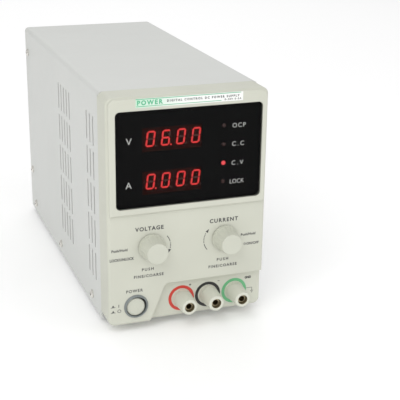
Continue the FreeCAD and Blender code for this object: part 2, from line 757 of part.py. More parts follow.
def indicators():
    lamps = [lamp(f"lamp_{i}", d.led_top - d.led_pitch * i) for i in range(4)]
    finish("indicators", gather("lamp_set", lamps))


# ---------------------------------------------------------------- encoders and knobs


def encoder(side, x):
    """A rotary encoder with a push switch: housing with its bush, detent rotor, and sliding shaft."""
    w, depth, back = d.encoder_width / 2, d.encoder_depth, d.board_front
    front = back - depth
    housing = fuse(side + "_housing_blank", [
        box(side + "_case", (-w, front, -w), (w, back, w)),
        rod(side + "_bush", d.bush_radius, front - 2, (0, 2, 0), "y")])
    hollow = [rod(side + "_chamber", d.rotor_radius + 0.3, depth - 1.6, (0, front + 0.8, 0), "y"),
              rod(side + "_bore", d.shaft_radius + d.running_gap, back - 0.4, (0, 0, 0), "y")]
    finish(side + "_encoder", cut(side + "_housing", housing, hollow), x, 0, d.knob_z)
    inner, outer = d.shaft_radius + d.running_gap, d.rotor_radius
    rotor = lathe(side + "_detent", [
        (inner, front + 1.2), (outer, front + 1.2), (outer, front + 4.4), (inner, front + 4.4)])
    finish(side + "_encoder_rotor", rotor, x, 0, d.knob_z)
    tip = d.knob_front + 4
    blank = rod(side + "_spindle", d.shaft_radius, back - 0.4 - d.press_travel - 0.2 - tip, (0, tip, 0), "y")
    flat = box(side + "_flat", (-5, tip - 1, 1.5), (5, d.knob_back - 0.5, 5))
    finish(side + "_encoder_shaft", cut(side + "_shaft", blank, [flat]), x, 0, d.knob_z)


def knob_spots():
    return [("voltage", d.knob_shift - d.knob_reach), ("current", d.knob_shift + d.knob_reach)]


def knob(side, x):
    """A tapered push-on knob with shallow flutes down its side, on the shaft's flat."""
    base, face, front, back = d.knob_base_radius, d.knob_face_radius, d.knob_front, d.knob_back
    hollow, bore, tip = base - 2, d.shaft_radius + 0.02, d.knob_front + 4
    skirt, waist = back - 1.6, base - 0.35
    body = lathe(side + "_knob_body", [
        (0, front), (face - 0.6, front), (face, front + 0.35),
        (waist, skirt - 1), (base, skirt), (base, back),
        (hollow, back), (hollow, back - 6), (bore + 1.6, back - 6), (bore + 1.6, back), (bore, back),
        (bore, tip), (0, tip)])
    flute_knob(body, (waist - face) / (skirt - front - 1.35), skirt)
    finish(side + "_knob", body, x, 0, d.knob_z)


def flute_knob(body, taper, skirt):
    """One flute that leans with the side, then its copies all the way round."""
    start, radius = d.knob_front - 1, d.flute_radius
    lean = taper * (skirt - start)
    sketch = new_sketch(body, "XZ", start)
    add_circle(sketch, 0, d.knob_base_radius - 0.3 - d.flute_depth + radius, radius + lean)
    flute = pocket(body, sketch, skirt - start)
    bind(flute, "TaperAngle", Size(f"-atan({taper.text})", 0))
    ring = body.newObject("PartDesign::PolarPattern", body.Name + "_flutes")
    ring.Originals = [flute]
    ring.Axis = (sketch, ["N_Axis"])
    ring.Angle = 360
    bind(ring, "Occurrences", d.flute_count)
    body.Tip = ring
    DOC.recompute()


# ---------------------------------------------------------------- mains button and switch


def power_switch():
    """A raised ring round a push button, which drives a latching switch through a square plunger."""
    power_ring()
    r, face, back = d.power_button_radius, d.power_face, d.power_face + d.button_length
    side = d.plunger_side / 2
    button = lathe("button", [
        (0, face), (r - 1.4, face + 0.12), (r - 0.4, face + 0.4), (r, face + 0.9), (r, back), (0, back)])
    dress(button, "Fillet", 0.3, lambda e: edge_on(e, "y", back))
    snug = side + 0.02
    socket = box("button_socket", (-snug, back - 3, -snug), (snug, back + 1, snug))
    finish("power_button", cut("button_cap", button, [socket]), button_x, 0, button_z)
    plunger = box("plunger", (-side, back - 3, -side), (side, switch_front + 8, side))
    finish("switch_plunger", plunger, button_x, 0, button_z)
    w, h, loose = d.switch_width / 2, d.switch_height / 2, side + 0.1
    body = box("switch_blank", (-w, switch_front, -h), (w, switch_front + d.switch_length, h))
    slot = box("switch_slot", (-loose, switch_front - 1, -loose), (loose, switch_front + 11, loose))
    finish("power_switch", cut("switch_body", body, [slot]), button_x, 0, button_z)


def power_ring():
    well, outer, crest = d.power_well_radius, d.power_ring_radius, panel_face - d.power_ring_height
    ring = lathe("ring", [
        (well, crest + 0.2), (well + 0.2, crest), (well + 0.5, crest + 0.1), (outer - 0.1, panel_face - 0.35),
        (outer, panel_face), (well + 0.7, panel_face), (well + 0.7, panel_back + 1), (well, panel_back + 1)])
    finish("power_button_ring", ring, d.power_x, 0, d.power_z)


# ---------------------------------------------------------------- binding posts


def binding_post(colour, x):
    """Stud with its 4 mm socket, captive insert and insulated cap, all on one axis."""
    r, socket = d.post_thread_radius, d.socket_radius
    tip = d.post_cap_front + 2.2
    seat = recess_face - 2
    stud = lathe(colour + "_stud_turned", [
        (socket, tip), (r - 0.3, tip), (r, tip + 0.3), (r, seat), (r + 1, seat), (r + 1, seat + 1),
        (r - 0.6, seat + 1), (r - 0.6, recess_back + 14), (0, recess_back + 14), (0, tip + d.socket_depth),
        (socket, tip + d.socket_depth)])
    wire_hole = rod(colour + "_wire_hole", 0.9, r * 2 + 2, (0, seat - 1.2, -r - 1), "z")
    finish(colour + "_post_stud", cut(colour + "_stud", stud, [wire_hole]), x, 0, d.post_z)
    inner, outer = r + d.running_gap, r + 1.3
    insert = lathe(colour + "_insert_turned", [
        (inner, tip + 0.6), (outer, tip + 0.6), (outer, tip + 7.6), (inner, tip + 7.6)])
    finish(colour + "_cap_insert", insert, x, 0, d.post_z)
    front, back, base, end = d.post_cap_front, d.post_cap_back, d.post_cap_radius, d.post_tip_radius
    mouth = d.post_mouth_radius
    hold = outer + 0.01
    cap = lathe(colour + "_cap_turned", [
        (mouth, front + 0.3), (mouth + 0.3, front), (end - 0.8, front),
        (end - 0.2, front + 0.3), (end, front + 0.9),
        (base, back - 0.8), (base - 0.3, back), (r + 1.4, back), (r + 1.4, tip + 8.4), (hold, tip + 7.65),
        (hold, tip + 0.55), (mouth, tip + 0.3)])
    finish(colour + "_post_cap", cap, x, 0, d.post_z)


def post_fittings():
    """Insulators on both sides of the bay's floor, nuts and solder tags, one set to each post."""
    r = d.post_thread_radius
    hole = r - 0.6 + 0.02
    seat = recess_face - 2
    wide, behind = d.post_cap_radius, recess_back + 2
    front = lathe("base_turned", [
        (r + 1.02, seat), (wide, seat), (wide, recess_face), (r + 0.9, recess_face), (r + 0.9, recess_back),
        (hole, recess_back), (hole, seat + 1.02), (r + 1.02, seat + 1.02)])
    back = lathe("washer_turned", [(hole, recess_back), (6, recess_back), (6, behind), (hole, behind)])
    nut = lathe("nut_turned", [(hole, behind), (4.2, behind), (4.2, behind + 2.4), (hole, behind + 2.4)])
    hexagon = nut_outline(behind, 2.4)
    nut = DOC.addObject("Part::Common", "hex_nut")
    nut.Base, nut.Tool = DOC.getObject("nut_turned"), hexagon
    tag = cut("tag", fuse("tag_blank", [
        rod("tag_eye", 4, 0.6, (0, recess_back + 4.4, 0), "y"),
        box("tag_tail", (-1.6, recess_back + 4.4, 0), (1.6, recess_back + 5, 11))]),
        [rod("tag_hole", hole, 2, (0, recess_back + 4, 0), "y")])
    spots = [(post_x(i), 0, d.post_z) for i in range(3)]
    for label, pieces in (("post_insulators", (front, back)), ("post_nuts", (nut,)), ("post_tags", (tag,))):
        made = [copies(f"{label}_{i}", piece, spots) for i, piece in enumerate(pieces)]
        finish(label, gather(label + "_set", sum(made, [])))


def nut_outline(start, length):
    prism = DOC.addObject("Part::Prism", "hexagon")
    prism.Polygon = 6
    prism.Circumradius = 4.3
    bind(prism, "Height", length)
    return place(prism, 0, start, 0, turn=TURNS["y"])


# ---------------------------------------------------------------- transformer


def core_bolt_spots():
    x = d.core_width / 2 - 5
    return [(sx, y) for sx in (-x, x) for y in (d.core_front - 8, d.core_front + d.core_stack + 8)]


def transformer():
    """A shell-type mains transformer: lamination stack, wound bobbin, and a clamp with four feet."""
    w, front, back = d.core_width / 2, d.core_front, d.core_front + d.core_stack
    low = floor_top + d.core_lift
    top, limb = low + d.core_height, d.core_limb
    block = box("core_block", (-w, front, low), (w, back, top))
    windows = [box("core_window_left", (-w + limb, front - 1, low + limb), (-limb, back + 1, top - limb)),
               box("core_window_right", (limb, front - 1, low + limb), (w - limb, back + 1, top - limb))]
    finish("transformer_core", cut("core", block, windows))
    over, gap = d.coil_overhang, 0.2
    reach = w - limb - gap
    coil = box("coil_block", (-reach, front - over, low + limb + 4), (reach, back + over, top - limb - 4))
    tunnel = [box("coil_tunnel", (-limb - gap, front - gap, low), (limb + gap, back + gap, top))]
    wound = cut("coil", coil, tunnel)
    finish("transformer_winding", wound)
    cheeks = []
    for end, lower, upper in (("low", low + limb + gap, low + limb + 4),
                              ("high", top - limb - 4, top - limb - gap)):
        plate = box(f"cheek_{end}_plate",
                    (-reach, front - over - 1, lower), (reach, back + over + 1, upper))
        hole = box(f"cheek_{end}_hole",
                   (-limb - gap, front - gap, lower - 1), (limb + gap, back + gap, upper + 1))
        cheeks.append(cut(f"cheek_{end}", plate, [hole]))
    finish("transformer_bobbin", gather("cheeks", cheeks))
    feet = [box(f"clamp_foot_{i}", (x0, y0, floor_top), (x1, y1, low))
            for i, (x0, x1, y0, y1) in enumerate([
                (-w, -w + 10, front - 14, back + 14), (w - 10, w, front - 14, back + 14)])]
    holes = [rod(f"clamp_hole_{i}", d.screw_radius + 0.1, d.core_lift + 2, (x, y, floor_top - 1))
             for i, (x, y) in enumerate(core_bolt_spots())]
    finish("transformer_feet", cut("clamp_feet", gather("clamp_pair", feet), holes))


# ---------------------------------------------------------------- power board, heat sink


def standoff_spots():
    x = d.main_board_width / 2 - 5
    front, back = d.main_board_front + 5, d.main_board_front + d.main_board_length - 5
    return [(sx, y) for sx in (-x, x) for y in (front, back)]


def power_board():
    out, front, back = d.main_board_width / 2, d.main_board_front, d.main_board_front + d.main_board_length
    deck = floor_top + d.standoff
    board = box("main_board_blank", (-out, front, deck), (out, back, deck + d.board_thickness))
    holes = [rod(f"main_hole_{i}", d.screw_radius + 0.1, 4, (x, y, deck - 1))
             for i, (x, y) in enumerate(standoff_spots())]
    finish("power_board", cut("main_board", board, holes))
    posts = [cut(f"standoff_{i}", rod(f"standoff_blank_{i}", 2.8, d.standoff, (x, y, floor_top)),
                 [rod(f"standoff_bore_{i}", d.screw_radius + 0.05, d.standoff + 2, (x, y, floor_top - 1))])
             for i, (x, y) in enumerate(standoff_spots())]
    finish("board_standoffs", gather("standoff_set", posts))
    top = deck + d.board_thickness
    cans = []
    for i, (x, y) in enumerate(((-27, front + 30), (1, front + 30))):
        cans.append(rod(f"can_{i}", 12.5, 42, (x, y, top)))
    finish("filter_capacitors", gather("can_set", cans))
    relays = [box(f"relay_{i}", (20, front + 14 + 19 * i, top), (35, front + 30 + 19 * i, top + 15))
              for i in range(3)]
    finish("tap_relays", gather("relay_set", relays))
    finish("bridge_rectifier", box("bridge", (-32, front + 54, top), (-2, front + 60, top + 20)))
    finish("output_terminals", box("terminals", (20, front + 1, top), (31, front + 9, top + 16)))


def output_leads():
    """Three insulated wires, each at its own level, from the post tags to the power board's terminals."""
    wires = []
    side, end_y, end_x = half_width - 3.8, d.main_board_front + 5, 31.3
    for i in range(3):
        body = new_body(f"lead_{i}")
        x, start, level = post_x(i), recess_back + 5.1, d.post_z + 3.7 + 2.7 * i
        corners = [(x, start), (x, start + 9), (side, start + 30), (side, end_y), (end_x, end_y)]
        path = add_route(new_sketch(body, "XY", level), [(number(a), number(b)) for a, b in corners], 4.0)
        ring = add_circle(new_sketch(body, "XZ", start), x, level, 1.1)
        pipe = body.newObject("PartDesign::AdditivePipe", f"lead_pipe_{i}")
        pipe.Profile = ring
        pipe.Spine = path
        DOC.recompute()
        wires.append(body)
    finish("output_leads", gather("lead_set", wires))


def heat_sink():
    """A finned extrusion on two brackets, with the pass transistors clamped under its base."""
    w, front, back, low = d.sink_width / 2, d.sink_front, d.sink_front + d.sink_length, d.sink_base_z
    body = new_body("sink")
    base = add_outline(new_sketch(body, "XZ", front), rectangle(-w, w, low, low + d.sink_base))
    pad(body, base, d.sink_length)
    fin = add_outline(new_sketch(body, "XZ", front), rectangle(
        -w, -w + d.fin_thickness, low + d.sink_base - 0.5, low + d.sink_base + d.fin_height))
    one = pad(body, fin, d.sink_length)
    row = body.newObject("PartDesign::LinearPattern", "fins")
    row.Originals = [one]
    row.Direction = (fin, ["H_Axis"])
    bind(row, "Length", d.sink_width - d.fin_thickness)
    bind(row, "Occurrences", d.fin_count)
    body.Tip = row
    DOC.recompute()
    finish("heat_sink", body)
    legs = []
    for side, x in (("left", -w), ("right", w - 1.5)):
        legs.append(fuse(f"sink_leg_{side}", [
            box(f"leg_{side}_web", (x, front + 18, floor_top), (x + 1.5, back - 18, low)),
            box(f"leg_{side}_foot", (x if side == "right" else x - 4, front + 18, floor_top),
                (x + 5.5 if side == "right" else x + 1.5, back - 18, floor_top + 1.5))]))
    finish("sink_brackets", gather("leg_set", legs))
    packs = [box(f"pack_{i}", (x - 8, front + 20, low - 5), (x + 8, front + 41, low))
             for i, x in enumerate((-22, 22))]
    finish("pass_transistors", gather("pack_set", packs))


# ---------------------------------------------------------------- fan


def fan():
    half, front, back = d.fan_size / 2, rear_inside - d.fan_depth, rear_inside
    frame = box("fan_block", (-half, front, -half), (half, back, half))
    holes = [rod(f"fan_hole_{i}", d.screw_radius + 0.1, d.fan_depth + 2, (x, front - 1, z), "y")
             for i, (x, z) in enumerate(fan_hole_spots(0))]
    duct = rod("fan_duct", d.fan_bore, d.fan_depth + 2, (0, front - 1, 0), "y")
    shell = cut("fan_shell", frame, [duct] + holes)
    arms = [place(box(f"strut_{i}", (0, 0, -1.5), (d.fan_bore + 0.5, 3, 1.5)), 0, front, 0,
                  turn=Rotation(Vector(0, 1, 0), 45 + 90 * i)) for i in range(4)]
    seat = rod("motor_seat", d.fan_hub, 3, (0, front, 0), "y")
    whole = fuse("fan_frame_whole", [shell, seat] + arms)
    bore = rod("motor_bore", 1.5 + d.running_gap, 5, (0, front - 1, 0), "y")
    finish("fan_frame", cut("fan_frame_bored", whole, [bore]), 0, 0, d.fan_z)
    hub = fuse("fan_hub_whole", [rod("hub", d.fan_hub, 17, (0, front + 4, 0), "y"),
                                 rod("spindle", 1.5, 5, (0, front + 0.2, 0), "y")])
    ring = cut("blade_zone", rod("blade_outer", d.fan_bore - 1, 16, (0, front + 4.5, 0), "y"),
               [rod("blade_inner", d.fan_hub - 1, 18, (0, front + 4, 0), "y")])
    blades = []
    for i in range(int(number(d.blade_count))):
        blade = box(f"blade_{i}", (0, -11, -0.6), (d.fan_bore, 11, 0.6))
        turned = Rotation(Vector(0, 1, 0), 360 / number(d.blade_count) * i)
        tilt = turned.multiply(Rotation(Vector(1, 0, 0), 50))
        blades.append(place(blade, 0, front + 12.5, 0, turn=tilt))
        # the block turns about its corner, so its middle is brought back onto the axis
        offset = tilt.multVec(Vector(0, -11, -0.6))
        place(blade, offset.x, front + 12.5 + offset.y, offset.z)
    trimmed = DOC.addObject("Part::Common", "blades_trimmed")
    trimmed.Base, trimmed.Tool = fuse("blades", blades), ring
    finish("fan_rotor", fuse("fan_rotor_whole", [hub, trimmed]), 0, 0, d.fan_z)
    fan_guard()


def fan_hole_spots(z0):
    half = d.fan_hole_pitch / 2
    return [(x, z0 + z) for x in (-half, half) for z in (-half, half)]


def fan_guard():
    """A wire finger guard: rings on two crossed wires whose ends are eyes for the fan screws."""
    wire = d.guard_wire
    face = rear_face + wire
    pieces = []
    for i, radius in enumerate((9, 16, 23, 28.5)):
        ring = DOC.addObject("Part::Torus", f"guard_ring_{i}")
        ring.Radius1 = radius
        bind(ring, "Radius2", wire)
        pieces.append(place(ring, 0, face + wire * 1.6, d.fan_z, turn=TURNS["y"]))
    reach = number(d.fan_hole_pitch) / 2 * math.sqrt(2) - 2.4
    for i in range(4):
        arm = rod(f"guard_arm_{i}", wire, reach - 8, (0, face, d.fan_z), "z")
        turn = Rotation(Vector(0, 1, 0), 45 + 90 * i)
        start = turn.multVec(Vector(0, 0, 8))
        pieces.append(place(arm, start.x, face, d.fan_z + start.z, turn=turn))
    for i, (x, z) in enumerate(fan_hole_spots(d.fan_z)):
        eye = DOC.addObject("Part::Torus", f"guard_eye_{i}")
        eye.Radius1 = 2.4
        bind(eye, "Radius2", wire)
        pieces.append(place(eye, x, face, z, turn=TURNS["y"]))
    finish("fan_guard", fuse("guard", pieces))
    screw = screw_blank("fan_screw", d.screw_length + 6)
    spots = [(x, face + wire, z) for x, z in fan_hole_spots(d.fan_z)]
    screws = copies("fan_screw_copy", screw, spots, Rotation(Vector(0, 0, 1), 180))
    finish("fan_screws", gather("fan_screw_set", screws))


# ---------------------------------------------------------------- mains inlet and voltage selector


def mains_inlet():
    """A three-pin inlet with a fuse drawer under its socket."""
    x, z, w, h = d.inlet_x, d.inlet_z, d.inlet_width / 2, d.inlet_height / 2
    face, deep = rear_face + d.inlet_flange, rear_face - d.inlet_depth
    block = fuse("inlet_block", [
        box("inlet_barrel", (x - w, deep, z - h), (x + w, rear_face, z + h)),
        box("inlet_rim", (x - w - 2, rear_face, z - h - 2), (x + w + 2, face, z + h + 2))])
    socket_low, socket_high = z - 3.4, z + 13.2
    mouth = box("inlet_mouth", (x - 12.2, face - 16.5, socket_low), (x + 12.2, face + 1, socket_high))
    gap = 0.2
    dw, dh, dz = d.drawer_width / 2, d.drawer_height / 2, z - 11
    channel = box("drawer_channel", (x - dw - gap, face - d.drawer_length - gap, dz - dh - gap),
                  (x + dw + gap, face + 1, dz + dh + gap))
    pins = [(x, z + 8.2), (x - 7, z + 2.2), (x + 7, z + 2.2)]
    slots = [box(f"pin_slot_{i}", (px - 1.02, deep - 1, pz - 2.02), (px + 1.02, face, pz + 2.02))
             for i, (px, pz) in enumerate(pins)]
    finish("mains_inlet", cut("inlet", block, [mouth, channel] + slots))
    blades = [box(f"pin_{i}", (px - 1, deep - 9, pz - 2), (px + 1, face - 2.5, pz + 2))
              for i, (px, pz) in enumerate(pins)]
    finish("inlet_pins", gather("pin_set", blades))
    tray = box("drawer_block", (x - dw, face - d.drawer_length, dz - dh), (x + dw, face - 1.5, dz + dh))
    front = box("drawer_front", (x - dw, face - 2, dz - dh), (x + dw, face + 0.8, dz + dh))
    grip = box("drawer_grip", (x - 4, face - 0.2, dz - dh - 0.1), (x + 4, face + 1.2, dz - dh + 1.4))
    cradle = box("drawer_cradle", (x - 3, face - d.drawer_length + 0.2, dz - dh + 1),
                 (x + 3, face - 1.2, dz + dh + 1))
    drawer = cut("drawer", fuse("drawer_blank", [tray, front]), [cradle, grip])
    finish("fuse_drawer", drawer)
    fuse_start = face - d.drawer_length + 0.4
    tube = rod("fuse_tube", 2.3, 9.6, (x, fuse_start + 5, dz + 0.2), "y")
    ends = [rod(f"fuse_end_{i}", 2.6, 5, (x, fuse_start + 14.4 * i, dz + 0.2), "y") for i in range(2)]
    finish("fuse_link", fuse("fuse", [tube] + ends))


def voltage_selector():
    """A slide switch behind the rear wall, its grooved slider in a window."""
    x, z, face = d.selector_x, d.selector_z, rear_inside
    plate = fuse("selector_blank", [
        box("selector_plate", (x - 18, face - 1.5, z - 6.5), (x + 18, face, z + 6.5)),
        box("selector_block", (x - 10, face - 13, z - 6), (x + 10, face - 1, z + 6))])
    travel, half = d.selector_travel / 2, 4.2
    reach = half + travel + 0.3
    well = box("selector_well", (x - reach, face - 9, z - 3.4), (x + reach, face + 1, z + 3.4))
    holes = [rod(f"selector_hole_{i}", d.screw_radius + 0.05, 4, (sx, face - 3, z), "y")
             for i, sx in enumerate(selector_screw_x())]
    finish("voltage_selector", cut("selector", plate, [well] + holes))
    left, right = x + travel - half, x + travel + half
    slider = box("slider_block", (left, face - 8.8, z - 3.2), (right, rear_face - 0.4, z + 3.2))
    groove = box("slider_groove",
                 (x + travel - 0.8, rear_face - 1.6, z - 4), (x + travel + 0.8, rear_face + 1, z + 4))
    finish("selector_slider", cut("slider", slider, [groove]))


# ---------------------------------------------------------------- build, check and write


def build():
    top_cover()
    bottom_chassis()
    rear_panel()
    front_bezel()
    cover_screws()
    machine_screws()
    rubber_feet()
    window_and_mask()
    display_board()
    readouts()
    indicators()
    for side, x in knob_spots():
        encoder(side, x)
        knob(side, x)
    power_switch()
    for i, colour in enumerate(("positive", "negative", "earth")):
        binding_post(colour, post_x(i))
    post_fittings()
    transformer()
    power_board()
    output_leads()
    heat_sink()
    fan()
    mains_inlet()
    voltage_selector()


def check():
    DOC.recompute()
    failed = [o.Label for o in DOC.Objects if "Invalid" in o.State or "Error" in o.State]
    if failed:
        raise ValueError(f"objects that did not recompute: {failed}")
    for part in SUB_PARTS:
        shape = part.Shape
        if shape.isNull() or not shape.isValid() or not shape.Solids:
            raise ValueError(f"{part.Label} has no valid solid")


def write():
    os.makedirs("parts", exist_ok=True)
    whole = FreeCAD.BoundBox()
    for part in SUB_PARTS:
        part.Shape.exportStep(os.path.join("parts", part.Label + ".step"))
        whole.add(part.Shape.BoundBox)
    print(f"{len(SUB_PARTS)} sub-parts; x {whole.XMin:.2f} to {whole.XMax:.2f}, "
          f"y {whole.YMin:.2f} to {whole.YMax:.2f}, z {whole.ZMin:.2f} to {whole.ZMax:.2f}")


build()
check()
write()
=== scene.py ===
import json
import math

import bpy
import bmesh
from mathutils import Matrix, Vector


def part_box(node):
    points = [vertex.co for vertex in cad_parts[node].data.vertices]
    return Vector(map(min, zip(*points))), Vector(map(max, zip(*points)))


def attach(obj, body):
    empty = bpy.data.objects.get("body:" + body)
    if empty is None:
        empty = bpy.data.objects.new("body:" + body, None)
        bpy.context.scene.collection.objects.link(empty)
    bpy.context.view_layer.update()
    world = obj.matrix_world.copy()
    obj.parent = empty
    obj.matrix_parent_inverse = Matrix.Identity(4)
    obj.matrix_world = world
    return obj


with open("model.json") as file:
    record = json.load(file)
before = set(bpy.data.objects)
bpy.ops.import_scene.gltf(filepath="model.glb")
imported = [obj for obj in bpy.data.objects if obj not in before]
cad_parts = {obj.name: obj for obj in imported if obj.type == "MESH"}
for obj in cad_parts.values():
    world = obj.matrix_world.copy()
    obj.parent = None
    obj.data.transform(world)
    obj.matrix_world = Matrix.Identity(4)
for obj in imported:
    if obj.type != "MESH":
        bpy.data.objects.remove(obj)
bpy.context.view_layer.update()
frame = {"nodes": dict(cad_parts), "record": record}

MM = 0.001
CABINET = "cabinet"

# The face of the display frame is the front datum, and the feet's plane is the height datum.
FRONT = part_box("front_bezel")[0].y
PANEL = FRONT + 1.8 * MM
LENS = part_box("display_window")[0].y
BAY = FRONT + 5.8 * MM
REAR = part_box("rear_panel")[1].y

# How far printing stands proud, and how much the lettering's strokes are thickened.
INK = 0.02 * MM
LETTER_INK = 0.05 * MM
FINE, BOLD = -0.008, 0.05

# The height of one readout, in millimetres.
READOUT_TALL = 15.8


# ---------------------------------------------------------------- node materials


class Shader:
    """A Principled material with small helpers for procedural inputs, in metres of the row frame."""

    def __init__(self, name, colour, rough, metal=0.0, **sockets):
        self.mat = bpy.data.materials.new(name)
        self.mat.use_nodes = True
        self.tree = self.mat.node_tree
        self.bsdf = self.tree.nodes["Principled BSDF"]
        self.colour, self.rough = colour, rough
        self.bsdf.inputs["Base Color"].default_value = (*colour, 1)
        self.bsdf.inputs["Roughness"].default_value = rough
        self.bsdf.inputs["Metallic"].default_value = metal
        for key, value in sockets.items():
            self.bsdf.inputs[key.replace("_", " ")].default_value = value
        self.place = self.node("ShaderNodeTexCoord").outputs["Object"]
        self.normal = None

    def node(self, kind, **settings):
        made = self.tree.nodes.new(kind)
        for key, value in settings.items():
            setattr(made, key, value)
        return made

    def link(self, a, b):
        self.tree.links.new(a, b)
        return self

    def stretched(self, scale):
        mapping = self.node("ShaderNodeMapping")
        mapping.inputs["Scale"].default_value = scale
        self.link(self.place, mapping.inputs["Vector"])
        return mapping.outputs["Vector"]

    def noise(self, scale, detail=3.0, rough=0.5, where=None):
        made = self.node("ShaderNodeTexNoise")
        made.inputs["Scale"].default_value = scale
        made.inputs["Detail"].default_value = detail
        made.inputs["Roughness"].default_value = rough
        self.link(where or self.place, made.inputs["Vector"])
        return made.outputs["Fac"]

    def ramp(self, fac, stops):
        made = self.node("ShaderNodeValToRGB")
        points = made.color_ramp.elements
        while len(points) < len(stops):
            points.new(0.5)
        for point, (spot, colour) in zip(points, stops):
            point.position = spot
            point.color = (*colour, 1) if len(colour) == 3 else colour
        self.link(fac, made.inputs["Fac"])
        return made.outputs["Color"]

    def scaled(self, fac, low, high, start=0.0, end=1.0):
        made = self.node("ShaderNodeMapRange")
        for key, value in (("From Min", start), ("From Max", end), ("To Min", low), ("To Max", high)):
            made.inputs[key].default_value = value
        self.link(fac, made.inputs["Value"])
        return made.outputs["Result"]

    def axis(self, name):
        made = self.node("ShaderNodeSeparateXYZ")
        self.link(self.place, made.inputs["Vector"])
        return made.outputs[name]

    def math(self, operation, a, b):
        made = self.node("ShaderNodeMath", operation=operation)
        for slot, value in zip(made.inputs, (a, b)):
            if isinstance(value, (int, float)):
                slot.default_value = value
            else:
                self.link(value, slot)
        return made.outputs["Value"]

    def mottle(self, amount, scale=30.0):
        """Slow, slight change of tone over the surface."""
        darker = tuple(c * (1 - amount) for c in self.colour)
        lighter = tuple(min(1.0, c * (1 + amount)) for c in self.colour)
        self.paint(self.ramp(self.noise(scale, 4.0), [(0.3, darker), (0.7, lighter)]))
        return self

    def paint(self, colour):
        self.link(colour, self.bsdf.inputs["Base Color"])
        return self

    def sheen_spots(self, amount, scale=140.0):
        """Roughness that varies a little from place to place."""
        self.link(self.scaled(self.noise(scale, 4.0), self.rough - amount, self.rough + amount),
                  self.bsdf.inputs["Roughness"])
        return self

    def bump(self, height, depth, strength=1.0):
        made = self.node("ShaderNodeBump")
        made.inputs["Strength"].default_value = strength
        made.inputs["Distance"].default_value = depth
        self.link(height, made.inputs["Height"])
        if self.normal is not None:
            self.link(self.normal, made.inputs["Normal"])
        self.normal = made.outputs["Normal"]
        self.link(self.normal, self.bsdf.inputs["Normal"])
        return self

    def grain(self, scale, depth):
        return self.bump(self.noise(scale, 2.0), depth)


def moulded(name, colour, rough=0.5, grain=2600.0, depth=0.00002, **sockets):
    made = Shader(name, colour, rough, **sockets)
    return made.mottle(0.025, 26).sheen_spots(0.05).grain(grain, depth)


def painted(name, colour):
    """Powder coat: satin, with fine orange peel."""
    made = Shader(name, colour, 0.42, Specular_IOR_Level=0.4)
    made.mottle(0.018, 14).sheen_spots(0.05, 60)
    return made.bump(made.noise(1500, 3.0, 0.6), 0.00003).bump(made.noise(320, 1.0), 0.00004)


def metal(name, colour, rough, brush=None, depth=0.000004):
    made = Shader(name, colour, rough, metal=1.0)
    made.mottle(0.06, 60).sheen_spots(0.06, 400)
    if brush:
        made.bump(made.noise(1.0, 3.0, 0.6, made.stretched(brush)), depth)
    return made


def lamp_resin():
    """Indicator resin: the third lamp from the top is lit, the others are dark red."""
    made = Shader("lamp_resin", (0.050, 0.021, 0.019), 0.25)
    low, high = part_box("indicators")
    flange, near = 3.8 * MM, 3 * MM
    centre = high.z - (high.z - low.z - flange) * 2 / 3 - flange / 2
    away = made.math("ABSOLUTE", made.math("SUBTRACT", made.axis("Z"), centre), 0)
    lit = made.math("LESS_THAN", away, near)
    made.mottle(0.1, 300)
    glow = made.ramp(lit, [(0.0, (0, 0, 0)), (1.0, (1.0, 0.085, 0.095))])
    made.link(glow, made.bsdf.inputs["Emission Color"])
    made.bsdf.inputs["Emission Strength"].default_value = 1.1
    return made


def lead_insulation():
    """Three wires, one above another: red, black and green."""
    made = Shader("wire_insulation", (0.3, 0.02, 0.02), 0.35)
    low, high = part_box("output_leads")
    level = made.scaled(made.axis("Z"), 0, 1, low.z, high.z)
    stops = [(0.0, (0.45, 0.015, 0.012)), (0.34, (0.012, 0.012, 0.013)), (0.66, (0.02, 0.22, 0.06))]
    banded = made.node("ShaderNodeValToRGB")
    banded.color_ramp.interpolation = "CONSTANT"
    points = banded.color_ramp.elements
    points.new(0.5)
    for point, (spot, colour) in zip(points, stops):
        point.position, point.color = spot, (*colour, 1)
    made.link(level, banded.inputs["Fac"])
    return made.paint(banded.outputs["Color"]).grain(1500, 0.00001)


def laminated_core():
    made = Shader("core_steel", (0.055, 0.05, 0.045), 0.5, metal=0.6)
    sheets = made.node("ShaderNodeTexWave", wave_type="BANDS", bands_direction="Y")
    sheets.inputs["Scale"].default_value = 620
    sheets.inputs["Distortion"].default_value = 0.6
    made.link(made.place, sheets.inputs["Vector"])
    return made.mottle(0.25, 90).sheen_spots(0.12, 300).bump(sheets.outputs["Fac"], 0.00012)


def taped_winding():
    made = Shader("winding_tape", (0.62, 0.38, 0.05), 0.3, Coat_Weight=0.3)
    turns = made.node("ShaderNodeTexWave", wave_type="BANDS", bands_direction="Z")
    turns.inputs["Scale"].default_value = 120
    turns.inputs["Distortion"].default_value = 1.5
    made.link(made.place, turns.inputs["Vector"])
    return made.mottle(0.15, 60).bump(turns.outputs["Fac"], 0.0001)


def circuit_board(name):
    """Solder mask over faint copper tracks."""
    made = Shader(name, (0.012, 0.11, 0.04), 0.3, Coat_Weight=0.4)
    cells = made.node("ShaderNodeTexVoronoi", feature="DISTANCE_TO_EDGE", distance="MANHATTAN")
    cells.inputs["Scale"].default_value = 150
    made.link(made.place, cells.inputs["Vector"])
    tracks = made.ramp(cells.outputs["Distance"], [(0.02, (0.03, 0.20, 0.07)), (0.06, (0.012, 0.11, 0.04))])
    return made.paint(tracks).sheen_spots(0.08).bump(cells.outputs["Distance"], 0.00003)


